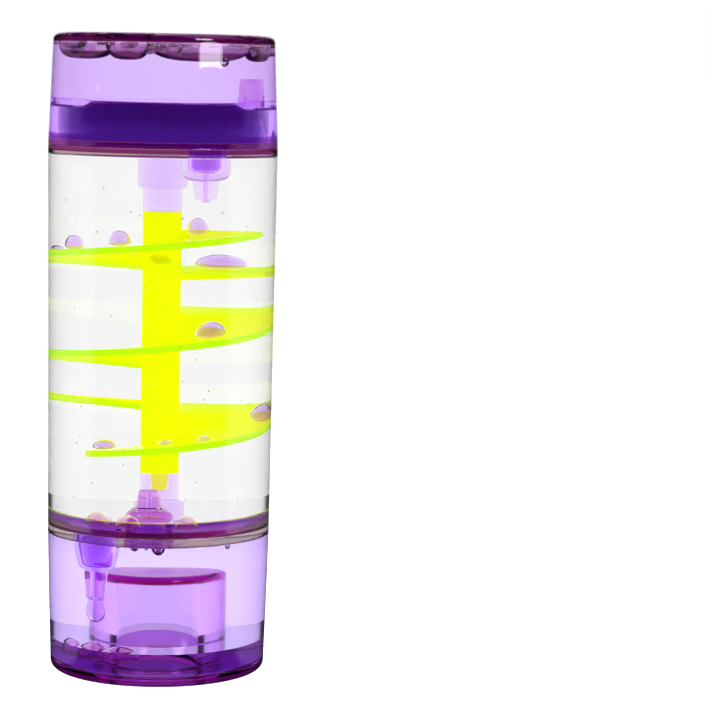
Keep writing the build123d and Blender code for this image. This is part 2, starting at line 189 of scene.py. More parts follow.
# %% [markdown]
# ## Clear and tinted plastic, oil and dyed water
# Each is a Principled shader that lets all light through. What gives it its colour is a
# Volume Absorption node, because then a thin wall is pale and a long way through is dark, as
# in the real thing. The shader's own base colour holds a faint cloudy tint as moulded
# plastic has, and a fine bump stands for the slight ripple of a moulded surface.
# Where one clear thing lies in another, Blender knows only one index of refraction at a
# time. Two rules keep it right. Shells and liquids have their own index, and the liquid
# reaches a hair's breadth into the wall, so light leaves one just after it enters the other.
# Pieces that are wholly in the oil have an index near their own divided by the oil's.

# %% A see-through finish


def clear(name, tint, index, absorbed, roughness=0.0, ripple=0.0, cloud=0.03, glow=None,
          glow_strength=0.0, mirror=1.0, ends=None, solid=0.0):
    """A finish that light goes through, with a colour by place where ends is given, mostly painted
    light and shade.
    """
    finish = Finish(bpy.data.materials.new(name))
    place = finish.out("ShaderNodeTexCoord", "Object")
    cloudy = finish.out("ShaderNodeTexNoise", "Fac", None,
                        {"Vector": place, "Scale": 45.0, "Detail": 2.0})
    deeper = tuple(c * (1 - cloud * 2) for c in tint)
    base = finish.colour(cloudy, (*tint, 1), (*deeper, 1))
    if ends is not None:
        base = ends(finish, place, base)
    shader = finish.node("ShaderNodeBsdfPrincipled", None, {
        "Base Color": base,
        "Roughness": roughness,
        "IOR": index,
        "Transmission Weight": 1.0 - solid,
        "Specular Tint": (mirror, mirror, mirror, 1),
    })
    if ripple:
        waves = finish.out("ShaderNodeTexNoise", "Fac", None,
                           {"Vector": place, "Scale": 60.0, "Detail": 1.0})
        bump = finish.node("ShaderNodeBump", None,
                           {"Height": waves, "Strength": ripple, "Distance": 0.0004})
        finish.tree.links.new(bump.outputs[0], shader.inputs["Normal"])
    if glow is not None:
        finish.tree.links.new(glow(finish, place).socket, shader.inputs["Emission Color"])
        shader.inputs["Emission Strength"].default_value = glow_strength
    sockets = {"Surface": shader.outputs[0]}
    if max(absorbed) > 0:
        density = max(absorbed) / MM
        hue = [1 - a / MM / density for a in absorbed]
        inside = finish.node("ShaderNodeVolumeAbsorption", None,
                             {"Color": (*hue, 1), "Density": density})
        sockets["Volume"] = inside.outputs[0]
    finish.node("ShaderNodeOutputMaterial", None, sockets)
    return finish.holder


def height_of(finish, place):
    """Height above the base in millimetres."""
    return finish.out("ShaderNodeSeparateXYZ", 2, None, {0: place}) * 1000


def radius_of(finish, place):
    """Distance from the upright axis in millimetres."""
    flat = finish.out("ShaderNodeVectorMath", 0, {"operation": "MULTIPLY"},
                      {0: place, 1: (1, 1, 0)})
    return finish.out("ShaderNodeVectorMath", "Value", {"operation": "LENGTH"}, {0: flat}) * 1000


# %% [markdown]
# ## Tinted plastic, with painted light and shade by place
# A moulding's plates and rims gather more or less light than its walls, and that is painted
# into its tint as light and shade. The functions below mix a second colour in by height or by
# the distance from the upright axis, all in millimetres.

# %% Tinted plastic
PLASTIC_INDEX = 1.54
# What a millimetre of each plastic takes of red, green and blue
PURPLE = (0.045, 0.160, 0.032)
PURPLE_INNER = (0.028, 0.070, 0.000)
PURPLE_DISC = (0.020, 0.026, 0.024)
PURPLE_SPOUT = (0.045, 0.175, 0.055)
NEON = (0.012, 0.0, 3.0)
NOTHING = (0.0, 0.0, 0.0)


def tint_and_painted_shade(finish, place, base):
    """Only the side walls take the base tint. The lower cap is bluer. The foot, the top plate's
    rim and the recess's roof get painted shade: the foot and rim hold back blue and the roof is
    magenta."""
    z, radius = height_of(finish, place), radius_of(finish, place)
    outer = finish.smooth(radius, 14.0, 16.0)
    low = 1 - finish.smooth(z, 31.0, 34.0)
    side = finish.band(z, (1.6, 2.6), (141.2, 141.6)) * outer
    # The roof, the rim and the foot get painted shade: darker tints where plates are seen edge-on
    # and near the floor
    roof = finish.band(z, (21.2, 21.8), (23.4, 24.0)) * (1 - finish.smooth(radius, 11.0, 12.0))
    rim = finish.band(z, (141.9, 142.1), (143.2, 143.4))
    foot = (1 - finish.smooth(z, 1.4, 2.2)) * outer
    tint = finish.colour(low * 0.85, base, (0.82, 0.92, 1, 1))
    tint = finish.colour(side, (1, 1, 1, 1), tint)
    tint = finish.colour(roof, tint, (0.78, 0.03, 0.50, 1))
    tint = finish.colour(foot, tint, (0.72, 0.90, 0.50, 1))
    return finish.colour(rim, tint, (0.72, 0.60, 0.30, 1))


def painted_dark_rings(finish, place, base):
    """Painted shade: the register rings stand in the violet pools and look magenta, so they are
    tinted magenta. So is the upper half of the upper disc, and its edge is painted darker still."""
    z = height_of(finish, place)
    upper = finish.smooth(z, 118.0, 118.2)
    lower = finish.band(z, (33.4, 33.6), (40.0, 41.0))
    face = finish.band(z, (117.8, 118.0), (118.9, 119.0))
    tint = finish.colour(upper + lower, base, (0.62, 0.08, 0.36, 1))
    return finish.colour(face, tint, (0.20, 0.01, 0.11, 1))


def cloudy_glow(first, second):
    """A glow that drifts between two colours."""
    def glow(finish, place):
        cloud = finish.out("ShaderNodeTexNoise", "Fac", None, {"Vector": place, "Scale": 90.0})
        return finish.colour(cloud, (*first, 1), (*second, 1))
    return glow


def painted_edge_glow(finish, place):
    """Painted glow for the fluorescent plastic: yellow over the ramps, and green at their rim, as
    such plastic gathers light at its edges.
    """
    rim = finish.smooth(radius_of(finish, place), 22.3, 23.0)
    return finish.colour(rim, (0.86, 0.86, 0.0, 1), (0.45, 1.0, 0.0, 1))


def painted_green_rim(finish, place, base):
    """Painted light: the rim's base colour leans to green too, with its glow."""
    rim = finish.smooth(radius_of(finish, place), 22.4, 22.9)
    return finish.colour(rim, base, (0.58, 1.0, 0.03, 1))


# Painted glow: the tinted plastic is given a little light of its own, so a boss is brighter than
# what is behind it
painted_lilac_glow = cloudy_glow((0.25, 0.08, 1.0), (0.32, 0.12, 0.9))
tinted_shell = clear("tinted_shell", (0.855, 0.875, 0.99), PLASTIC_INDEX, PURPLE,
                     ripple=0.05, cloud=0.01, ends=tint_and_painted_shade)
tinted_disc = clear("tinted_disc", (0.95, 0.93, 0.97), PLASTIC_INDEX, PURPLE_DISC,
                    ends=painted_dark_rings)
tinted_inner = clear("tinted_inner", (1.0, 0.99, 1.0), 1.08, PURPLE_INNER, cloud=0.01,
                     glow=painted_lilac_glow, glow_strength=0.05)
# The plug's button stands in the oil and is hardly seen, so it bends light as the oil does
tinted_plug = clear("tinted_plug", (1.0, 0.99, 1.0), 1.0005, PURPLE_INNER, cloud=0.01)
tinted_spout = clear("tinted_spout", (0.97, 0.90, 1.0), 1.12, PURPLE_SPOUT,
                     glow=painted_lilac_glow, glow_strength=0.015)
clear_tube = clear("clear_tube", (0.90, 0.90, 0.90), 1.49, NOTHING, ripple=0.03)
neon = clear("neon_yellow", (0.93, 1.0, 0.01), 1.02, NEON, roughness=0.03, ripple=0.05,
             glow=painted_edge_glow, glow_strength=0.26, ends=painted_green_rim, solid=0.30)

# %% [markdown]
# ## Oil, dyed water and air
# The liquids mirror nothing, because the wall that they touch already does. The same dye
# looks quite different by how much of it light has to cross, and by what is behind it, so
# the pools, the drops and the drops that wait on a pool each have a strength of their own.

# %% Liquids and air
OIL_INDEX, WATER_INDEX, DROP_INDEX, POCKET_INDEX = 1.46, 1.335, 0.915, 0.685
# What a millimetre of each liquid takes of red, green and blue
VIOLET = (0.058, 0.120, 0.036)
VIOLET_THIN = (0.040, 0.088, 0.024)
VIOLET_PALE = (0.044, 0.094, 0.028)
VIOLET_DEEP = (0.160, 0.240, 0.110)
VIOLET_SPOUT = (0.16, 0.30, 0.12)
VIOLET_DOME = (0.035, 0.130, 0.060)
VIOLET_SHADED = (0.25, 0.27, 0.12)


def painted_dye_glow(finish, place):
    """Painted light: a glow in the dyed water, bluer near the bottom of the pool."""
    low = 1 - finish.smooth(height_of(finish, place), 120.5, 126.5)
    return finish.colour(low, (0.043, 0.004, 0.125, 1), (0.070, 0.012, 0.24, 1))


def painted_dark_below(finish, place, base):
    """Painted reflection: the lower side of a bubble under the top plate is darkened for the dark
    pool that it mirrors.
    """
    under = top_z - plate
    low = 1 - finish.smooth(height_of(finish, place), under - 2.5, under - 1.7)
    return finish.colour(low, base, (0.09, 0.03, 0.06, 1))


oil = clear("clear_oil", (1.0, 1.0, 1.0), OIL_INDEX, NOTHING, cloud=0.004, mirror=0.0)
dyed_water = clear("dyed_water", (0.98, 0.95, 1.0), WATER_INDEX, VIOLET_DEEP, mirror=0.0,
                   glow=painted_dye_glow, glow_strength=1.0)
thin_water = clear("thin_water", (0.99, 0.985, 1.0), WATER_INDEX, VIOLET_THIN, mirror=0.0)
pale_water = clear("pale_water", (0.99, 0.98, 1.0), WATER_INDEX, VIOLET_PALE, mirror=0.0)
deep_drop = clear("deep_drop", (0.95, 0.90, 1.0), DROP_INDEX, VIOLET_SPOUT, glow=painted_dye_glow,
                  glow_strength=1.0)
# Painted glow: the drops are given a little light of their own, so a drop stays violet in front of
# yellow
painted_violet_glow = cloudy_glow((0.30, 0.05, 1.0), (0.40, 0.08, 0.9))
dyed_drop = clear("dyed_drop", (0.95, 0.90, 1.0), DROP_INDEX, VIOLET, glow=painted_violet_glow,
                  glow_strength=0.10)
# Drops that wait on a pool are lit through it and look pinker
pink_glow = cloudy_glow((0.80, 0.10, 0.70), (0.90, 0.18, 0.85))
dome_water = clear("dome_water", (1.0, 0.80, 0.93), DROP_INDEX, VIOLET_DOME, glow=pink_glow,
                   glow_strength=0.02)
shaded_drop = clear("shaded_drop", (0.95, 0.90, 1.0), DROP_INDEX, VIOLET_SHADED)
air_pocket = clear("air_pocket", (1.0, 1.0, 1.0), POCKET_INDEX, NOTHING)
# Air has no colour: the pockets' tint is painted shade, and their darker lower sides a painted
# reflection
shaded_pocket = clear("shaded_pocket", (0.86, 0.72, 0.82), POCKET_INDEX, NOTHING, cloud=0.06,
                    ends=painted_dark_below)
print("finishes:", [m.name for m in bpy.data.materials if m.use_nodes])

# %% [markdown]
# ## Turned shapes
# Every shell, boss, spout and liquid is round about an upright line, so it is drawn as half
# a section and spun. A corner may carry a third number, the size of its round. The round is
# a vertex bevel on the flat section, made before the spin.

# %% Spin a half section


def section(bm, points, closed):
    """The outline of a half section, with its corners rounded, as edges."""
    corners = [bm.verts.new((p[0], 0, p[1])) for p in points]
    face = bm.faces.new(corners)
    rounds = [(v, p[2]) for v, p in zip(corners, points) if len(p) > 2]
    for v, size in rounds:
        bmesh.ops.bevel(bm, geom=[v], offset=size, segments=7, profile=0.5,
                        affect="VERTICES", material=-1)
    bmesh.ops.delete(bm, geom=list(bm.faces), context="FACES_ONLY")
    if not closed:
        axis = [e for e in bm.edges if all(abs(v.co.x) < 1e-6 for v in e.verts)]
        bmesh.ops.delete(bm, geom=axis, context="EDGES")
    return list(bm.verts) + list(bm.edges)


def turned(points, closed=False, steps=180, centre=(0, 0)):
    """A solid of revolution. closed says that the section doesn't touch its axis."""
    bm = bmesh.new()
    geom = section(bm, points, closed)
    bmesh.ops.spin(bm, geom=geom, cent=(0, 0, 0), axis=(0, 0, 1), dvec=(0, 0, 0),
                   angle=math.tau, steps=steps, use_merge=True, use_duplicate=False)
    bmesh.ops.remove_doubles(bm, verts=bm.verts, dist=1e-4)
    bmesh.ops.recalc_face_normals(bm, faces=bm.faces)
    bmesh.ops.translate(bm, vec=(*centre, 0), verts=bm.verts)
    return bm


def joined(*shapes):
    """Several separate shapes as one mesh."""
    first = shapes[0]
    for other in shapes[1:]:
        loose = bpy.data.meshes.new("loose")
        other.to_mesh(loose)
        other.free()
        first.from_mesh(loose)
        bpy.data.meshes.remove(loose)
    return first


def piece(name, bm, body, finish, slot, *nodes, sharp=32):
    """Turn a finished bmesh into a piece in metres that rides on a body."""
    bmesh.ops.scale(bm, vec=(MM, MM, MM), verts=bm.verts)
    mesh = bpy.data.meshes.new(name)
    bm.to_mesh(mesh)
    bm.free()
    mesh.materials.append(finish)
    mesh.shade_smooth()
    mesh.set_sharp_from_angle(angle=math.radians(sharp))
    made = bpy.data.objects.new(name, mesh)
    scene.collection.objects.link(made)
    flat = made.modifiers.new("large faces lead", "WEIGHTED_NORMAL")
    flat.mode, flat.keep_sharp = "FACE_AREA", True
    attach(made, body)
    if nodes:
        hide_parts(*nodes)
    print(f"{name}: {len(mesh.polygons)} faces on {body}")
    return made


# %% [markdown]
# ## The case
# Bottom cap, tube and top cap are three mouldings. The caps are cups with a rounded rim at
# the closed end, and the bottom one has a deep recess pushed up into it from below.

# %% Shells of the case
recess_radius, recess_wall, recess_top = 9.4, 1.2, 23.3
recess_roof = recess_top - recess_wall

bottom_shell = turned([
    (recess_radius, 0, 0.3),
    (base_radius, 0, 1.6),
    (lower_radius, lower_joint_z, 0.15),
    (lower_radius - wall, lower_joint_z, 0.15),
    (base_wall_radius(plate), plate, 1.0),
    (recess_radius + recess_wall, plate, 0.5),
    (recess_radius + recess_wall, recess_top, 1.2),
    (0, recess_top),
    (0, recess_roof),
    (recess_radius, recess_roof, 0.8),
])
piece("bottom_shell", bottom_shell, "case", tinted_shell, "tinted_purple", "bottom_cap")

flange_radius, button_radius = 3.4, 2.2
plug_flange = turned([
    (0, recess_roof - 1.04),
    (flange_radius, recess_roof - 1.04, 0.25),
    (flange_radius, recess_roof - 0.04, 0.15),
    (0, recess_roof - 0.04),
], steps=96)
piece("plug_flange", plug_flange, "case", tinted_shell, "tinted_purple", "fill_plug")
plug_button = turned([
    (0, recess_top + SEAM),
    (button_radius, recess_top + SEAM),
    (button_radius, recess_top + 0.46, 0.2),
    (0, recess_top + 0.46),
], steps=96)
piece("plug_button", plug_button, "case", tinted_plug, "tinted_purple", "fill_plug")

tube = turned([
    (lower_radius - tube_wall, tube_z + SEAM, 0.12),
    (lower_radius, tube_z + SEAM, 0.18),
    (upper_radius, tube_top_z - SEAM, 0.18),
    (upper_radius - tube_wall, tube_top_z - SEAM, 0.12),
], closed=True)
piece("tube", tube, "case", clear_tube, "clear_plastic", "centre_tube")

top_shell = turned([
    (upper_radius - wall, cap_z + SEAM, 0.15),
    (upper_radius, cap_z + SEAM, 0.18),
    (top_radius, top_z, 1.6),
    (0, top_z),
    (0, top_z - plate),
    (cap_wall_radius(top_z - plate), top_z - plate, 1.0),
])
piece("top_shell", top_shell, "case", tinted_shell, "tinted_purple", "top_cap")

# %% [markdown]
# ## Dividers
# A disc closes off each chamber, with a low ring that centres the part above it. Its boss
# stands in the liquid, so it is a piece of its own with the index for things in oil.

# %% Discs and bosses
disc_thickness, register, register_wall, register_gap = 1.9, 1.3, 1.5, 0.04
lower_register = tube_wall_radius(tube_z) - register_gap
upper_register = cap_wall_radius(cap_z + register) - register_gap


def disc(z, radius, ring):
    """A divider with its register ring."""
    top = z + disc_thickness
    return turned([
        (0, z),
        (radius, z, 0.15),
        (radius, top, 0.15),
        (ring, top),
        (ring, top + register, 0.2),
        (ring - register_wall, top + register, 0.2),
        (ring - register_wall, top, 0.2),
        (0, top),
    ])


piece("lower_disc", disc(lower_joint_z, lower_radius, lower_register), "case", tinted_disc,
      "tinted_purple", "lower_divider")
piece("upper_disc", disc(tube_top_z, upper_radius, upper_register), "case", tinted_disc,
      "tinted_purple", "upper_divider")

lower_boss_z, column_foot = tube_z + 5.9, tube_z + 12.3
upper_boss_z, column_head = tube_top_z - 7.4, tube_top_z - 12.4
boss_radius, socket_radius = 3.85, 3.0
lower_boss = turned([
    (0, tube_z - 0.2),
    (boss_radius, tube_z - 0.2),
    (boss_radius, lower_boss_z, 0.5),
    (socket_radius, lower_boss_z, 0.15),
    (socket_radius, column_foot - SEAM, 0.15),
    (1.5, column_foot - SEAM),
    (1.2, column_foot - 4.0, 0.1),
    (0, column_foot - 4.0),
], steps=96)
piece("lower_boss", lower_boss, "case", tinted_inner, "tinted_purple", "lower_divider")
upper_boss = turned([
    (0, tube_top_z + 0.2),
    (boss_radius, tube_top_z + 0.2),
    (boss_radius, upper_boss_z, 1.2),
    (socket_radius, upper_boss_z, 0.15),
    (socket_radius, column_head + SEAM, 0.15),
    (1.3, column_head + SEAM),
    (1.3, column_head - 4.8, 0.3),
    (0, column_head - 4.8),
], steps=96)
piece("upper_boss", upper_boss, "case", tinted_inner, "tinted_purple", "upper_divider")

# %% [markdown]
# ## Ramps
# The yellow column and its three ramps are one moulding. A ramp is a thin radial section
# spun about the column while it rises, which is a spin with an upward step.

# %% Column and ramps
column_radius, ramp_radius, ramp_thickness, ramp_pitch = 3.0, 23.0, 1.4, 12.9998
ramp_spacing = 22.4048
middle_z = (tube_z + tube_top_z) / 2 - 0.7
ramp_turns = [(-26.0, -309.0, -90.0), (90.0, -270.0, -90.0), (-210.0, -493.0, -450.0)]


def ramp_z(ramp, angle):
    """Height of a ramp's underside at an angle in degrees."""
    front_z = middle_z + (1 - ramp) * ramp_spacing
    return front_z + ramp_pitch * (angle - ramp_turns[ramp][2]) / 360


def ramp_shape(ramp):
    """One ramp from its lower end to its upper end."""
    start, end, _ = ramp_turns[ramp]
    steps = round((start - end) / 2.5)
    bm = bmesh.new()
    inner, outer, thick = column_radius * 0.7, ramp_radius, ramp_thickness
    corners = [bm.verts.new(p) for p in (
        (inner, 0, 0), (outer, 0, 0), (outer, 0, thick), (inner, 0, thick))]
    bm.faces.new(corners)
    bmesh.ops.bevel(bm, geom=corners[1:3], offset=0.35, segments=4, profile=0.5,
                    affect="VERTICES", material=-1)
    bmesh.ops.translate(bm, vec=(0, 0, ramp_z(ramp, end)), verts=bm.verts)
    bmesh.ops.rotate(bm, cent=(0, 0, 0), matrix=Matrix.Rotation(math.radians(end), 3, "Z"),
                     verts=bm.verts)
    climb = (start - end) / 360
    bmesh.ops.spin(bm, geom=list(bm.verts) + list(bm.edges) + list(bm.faces), cent=(0, 0, 0),
                   axis=(0, 0, 1), dvec=(0, 0, ramp_pitch * climb / steps),
                   angle=math.tau * climb, steps=steps, use_merge=False,
                   use_duplicate=False)
    bmesh.ops.holes_fill(bm, edges=[e for e in bm.edges if e.is_boundary], sides=0)
    bmesh.ops.remove_doubles(bm, verts=bm.verts, dist=1e-4)
    bmesh.ops.recalc_face_normals(bm, faces=bm.faces)
    return bm


column = turned([
    (0, column_foot - 3.8),
    (1.15, column_foot - 3.8, 0.1),
    (1.45, column_foot + 0.04),
    (column_radius, column_foot + 0.04, 0.1),
    (column_radius, column_head - 0.04, 0.1),
    (1.35, column_head - 0.04),
    (1.35, column_head - 5.0),
    (0, column_head - 5.0),
], steps=96)
piece("spiral", joined(column, *(ramp_shape(i) for i in range(3))), "case", neon,
      "neon_yellow", "spiral_ramp")

# %% [markdown]
# ## Spouts
# A spout is a cup let into the divider with a fine tube on it. The drops form at the small
# hole in its tip. Two point up and two point down, and those filled from a violet pool hold
# violet liquid, which is a plug of water that reaches a little into the plastic.

# %% Spouts and what stands in them
# Outer and inner profile (radius, distance from the divider's face, round), then the
# distance of the tip and the bore's radius
BOWL = ([(4.5, 0), (4.5, 7.2, 2.2)], [(3.1, 0), (2.9, 5.6, 1.6)], 11.5, 0.40)
FUNNEL = ([(4.5, 0), (4.5, 4.6, 1.6), (3.4, 9.0, 0.9)],
          [(3.6, 0), (3.5, 3.8, 1.0), (2.7, 8.2, 0.7)], 15.7, 0.95)
TALL = (FUNNEL[0], FUNNEL[1], 16.8, FUNNEL[3])
hole, tip_wall = 0.35, 0.7
SPOUTS = {
    "lower_up_spout": ((-1.8, -11.3), lower_joint_z, 1, BOWL),
    "lower_down_spout": ((-11.4, -8.6), tube_z, -1, FUNNEL),
    "upper_up_spout": ((13.3, 2.6), tube_top_z, 1, TALL),
    "upper_down_spout": ((7.6, -8.2), cap_z, -1, BOWL),
}


def spout_shape(place, z, way, cup):
    """The plastic of a spout, as a half section with a hole right through."""
    outer, hollow, tip, bore = cup
    points = [
        hollow[0], *outer, (2.35, outer[-1][1], 0.4), (1.9, tip, 0.5), (hole, tip, 0.1),
        (hole, tip - tip_wall), (bore, tip - tip_wall, 0.1), (bore, hollow[-1][1], 0.15),
        *reversed(hollow[1:]),
    ]
    return turned([(r, z + way * h, *more) for r, h, *more in points], closed=True,
                  steps=80, centre=place)


def spout_liquid(place, z, way, cup, bead=0.0):
    """The liquid in a spout, with a bead at the tip where one is asked for."""
    _, hollow, tip, bore = cup
    end = tip - 0.65
    points = [
        (0, -0.3), (hollow[0][0] + LAP, -0.3),
        *[(r + LAP, h + LAP, *more) for r, h, *more in hollow[1:]],
        (bore + LAP, hollow[-1][1] + LAP, 0.1), (bore + LAP, end, 0.1),
    ]
    if bead:
        points += [(0.3, end), (0.3, tip + 0.02), (bead, tip + 0.1, 0.06),
                   (bead, tip + 0.5, 0.3), (0, tip + 0.5)]
    else:
        points += [(0, end)]
    return turned([(r, z + way * h, *more) for r, h, *more in points], steps=80, centre=place)


for name, sizes in SPOUTS.items():
    finish = tinted_spout if "up_spout" in name else tinted_inner
    piece(name + "_shell", spout_shape(*sizes), "case", finish, "tinted_purple", name)
# The radius of the bead and the finish of the liquid, for the spouts that hold some
FILLED = {
    "lower_down_spout": (0, deep_drop),
    "upper_down_spout": (0.8, deep_drop),
    "lower_up_spout": (0, dyed_drop),
}
for name, (bead, finish) in FILLED.items():
    piece(name + "_liquid", spout_liquid(*SPOUTS[name], bead), "case", finish, "violet_liquid")

# %% [markdown]
# ## Liquids
# Each chamber holds a violet pool with oil on it. A pool and the oil above it overlap by the
# same hair's breadth as the walls do. Dyed water in oil doesn't wet the wall: the centre
# pool rounds down to it, and the top pool stands clear of it, heaped up in the middle.

# %% Bottom and centre pool
bottom_pool_z, centre_pool_z, top_pool_z = plate + 5.4, tube_z + 3.5, cap_z + 9.0
post = recess_radius + recess_wall - LAP

pool_bottom = turned([
    (post, plate - LAP),
    (base_wall_radius(plate) + LAP, plate - LAP, 1.0),
    (base_wall_radius(bottom_pool_z) + LAP, bottom_pool_z),
    (post, bottom_pool_z),
], closed=True)
piece("pool_bottom", pool_bottom, "case", pale_water, "violet_liquid", "violet_pool_bottom")

centre_edge, rim_depth = tube_wall_radius(centre_pool_z) + LAP, 0.9


def rim(gap=0.0):
    """The edge of the centre pool, which rounds down to the wall."""
    return [(centre_edge, centre_pool_z - rim_depth - gap),
            (centre_edge - 0.15 - gap, centre_pool_z - gap, rim_depth * 0.9)]


pool_centre = turned([
    (0, tube_z - LAP),
    (tube_wall_radius(tube_z) + LAP, tube_z - LAP),
    *rim(),
    (0, centre_pool_z),
])
piece("pool_centre", pool_centre, "case", thin_water, "violet_liquid", "violet_pool_centre")

# %% Top pool
low_z, plateau_z = top_pool_z - 0.3, top_pool_z + 0.9
heap_edge, heap_slope = 15.0, 1.8


def heaped(bm):
    """Raise the level across its middle, with a soft slope at either side."""
    for v in bm.verts:
        if low_z - 1 < v.co.z < low_z + 1:
            share = min(max((heap_edge - abs(v.co.x)) / heap_slope, 0), 1)
            v.co.z += (plateau_z - low_z) * share * share * (3 - 2 * share)
    return bm


def heap_side(gap=0.0):
    """The upright side of the pool, clear of the wall."""
    return [(17.6 - gap, cap_z - LAP), (17.9 - gap, cap_z + 3.0, 1.5),
            (17.8 - gap, low_z - gap, 0.8)]


def level_rings(z):
    """Points across a level, so that there is something to raise."""
    return [(r, z) for r in (16.6, 15.9, 15.2, 14.5, 13.8, 13.1, 12.4, 9.0, 5.0, 0)]


pool_top = heaped(turned([(0, cap_z - LAP), *heap_side(), *level_rings(low_z)]))
piece("pool_top", pool_top, "case", dyed_water, "violet_liquid", "violet_pool_top")

# %% Oil
oil_bottom = turned([
    (post, bottom_pool_z - LAP),
    (base_wall_radius(bottom_pool_z) + LAP, bottom_pool_z - LAP),
    (lower_radius - wall + LAP, lower_joint_z + LAP),
    (0, lower_joint_z + LAP),
    (0, recess_top - LAP),
    (post, recess_top - LAP, 1.2),
])
piece("oil_bottom", oil_bottom, "case", oil, "clear_oil", "clear_oil_bottom")

oil_centre = turned([
    (0, centre_pool_z - LAP),
    *reversed(rim(LAP)),
    (tube_wall_radius(tube_top_z) + LAP, tube_top_z + LAP),
    (0, tube_top_z + LAP),
])
piece("oil_centre", oil_centre, "case", oil, "clear_oil", "clear_oil_centre")

ceiling_z = top_z - plate
oil_top = heaped(turned([
    *reversed(level_rings(low_z - LAP)),
    *reversed(heap_side(LAP)),
    (cap_wall_radius(cap_z) + LAP, cap_z - LAP),
    (cap_wall_radius(ceiling_z) + LAP, ceiling_z + LAP, 1.0),
    (0, ceiling_z + LAP),
]))
piece("oil_top", oil_top, "case", oil, "clear_oil", "clear_oil_top")

# %% [markdown]
# ## Drops
# A drop in oil is a flattened ball. It starts as an icosphere, is squeezed, flattened more
# on the side that it rests on, and leaned with the ramp that carries it.

# %% Drops
DROP_GAP = 0.06
# Depth of a drop's underside for a depth of 1 above it
UNDERSIDE = 0.4


def blob(centre, normal, radius, height):
    """A squat ball standing on a point, with its underside flatter than its top."""
    bm = bmesh.new()
    bmesh.ops.create_icosphere(bm, subdivisions=4, radius=1.0)
    low = height * UNDERSIDE / (1 + UNDERSIDE)
    for v in bm.verts:
        v.co.z = low + v.co.z * (height - low if v.co.z > 0 else low)
    bmesh.ops.scale(bm, vec=(radius, radius, 1), verts=bm.verts)
    turn = Vector((0, 0, 1)).rotation_difference(Vector(normal)).to_matrix()
    bmesh.ops.rotate(bm, cent=(0, 0, 0), matrix=turn, verts=bm.verts)
    bmesh.ops.translate(bm, vec=centre, verts=bm.verts)
    return bm


def round_point(angle, reach, z):
    """The point at an angle in degrees and a distance from the axis."""
    turn = math.radians(angle)
    return Vector((reach * math.cos(turn), reach * math.sin(turn), z))


def ramp_drop(ramp, angle, reach, radius, height):
    """A drop on a ramp, just clear of it."""
    turn = math.radians(angle)
    slope = ramp_pitch / (math.tau * reach)
    normal = Vector((slope * math.sin(turn), -slope * math.cos(turn), 1)).normalized()
    seat = round_point(angle, reach, ramp_z(ramp, angle) + ramp_thickness)
    return blob(seat + normal * DROP_GAP, normal, radius, height)


piece("drop_falling", ramp_drop(0, -50.0, 10.2, 1.95, 3.75), "new_drop", dyed_drop,
      "violet_liquid", "falling_drop")
# Ramp, angle, then distance from the axis, radius and height as shares of the ramp's radius
ROLLING = [
    (0, -121.0, 0.66, 0.097, 0.150), (0, -158.5, 0.74, 0.094, 0.140),
    (0, -177.0, 0.80, 0.080, 0.050), (0, -294.5, 0.70, 0.130, 0.155),
    (1, -56.0, 0.76, 0.136, 0.165),
    (2, -356.0, 0.78, 0.155, 0.180), (2, -446.0, 0.72, 0.060, 0.050),
    (2, -422.0, 0.82, 0.050, 0.050), (2, -485.0, 0.84, 0.110, 0.100),
]
rolling = [ramp_drop(ramp, angle, reach * ramp_radius, radius * ramp_radius,
                     height * ramp_radius)
           for ramp, angle, reach, radius, height in ROLLING]
piece("drops_rolling", joined(*rolling), "ramp_drops", dyed_drop, "violet_liquid",
      "rolling_drops")
# Painted shade: the drop behind the column gets denser dye, or the yellow in front would hide it
piece("drop_behind", ramp_drop(0, -266.5, 0.58 * ramp_radius, 1.8, 2.6), "ramp_drops",
      shaded_drop, "violet_liquid")

lower_tip_z = lower_joint_z - 13.8
hang_z = lower_tip_z - DROP_GAP
# Radius, distance below its top and size of the round
HANGING = [(1.45, 0, 0.2), (1.5, 0.6, 0.5), (1.9, 1.9, 0.8), (2.0, 2.9, 0.7),
           (1.8, 3.9, 0.7), (1.2, 4.75, 0.5), (0.6, 5.15, 0.2)]
hanging = turned([
    (0, hang_z), *[(r, hang_z - depth, size) for r, depth, size in HANGING], (0, hang_z - 5.2),
], steps=64, centre=SPOUTS["lower_down_spout"][0])
piece("drop_hanging", hanging, "spout_drop", dyed_drop, "violet_liquid", "hanging_drop",
      sharp=80)

# %% [markdown]
# ## Domes and trapped air
# Drops that haven't merged with a pool yet stand on it as half balls, and bubbles hang under
# the plates in the same way. The large bubbles under the top plate are flatter, and are
# bent round with the wall. A bubble that floats free in the oil is a whole ball.

# %% Half balls
centre_reach, bottom_reach = lower_radius - tube_wall, base_radius - wall
# The flat side of a dome lies inside its pool
centre_seat, bottom_seat = tube_z + 2.0, plate + 3.0
# Angle, then distance from the axis, radius and height as shares of the chamber's radius
CENTRE_DOMES = [(-127.7, 0.880, 0.110, 0.125), (-108.0, 0.880, 0.118, 0.120),
                (-118.5, 0.930, 0.045, 0.090), (-74.0, 0.885, 0.108, 0.115)]
BOTTOM_DOMES = [(-152.0, 0.850, 0.130, 0.160), (-134.0, 0.820, 0.165, 0.165),
                (-114.0, 0.800, 0.185, 0.150)]
UNDER_DIVIDER = [(-90.0, 0.87, 0.072, 0.098), (-47.0, 0.92, 0.034, 0.070),
                 (-104.0, 0.90, 0.048, 0.060), (-97.0, 0.92, 0.022, 0.045),
                 (-114.0, 0.90, 0.030, 0.040)]


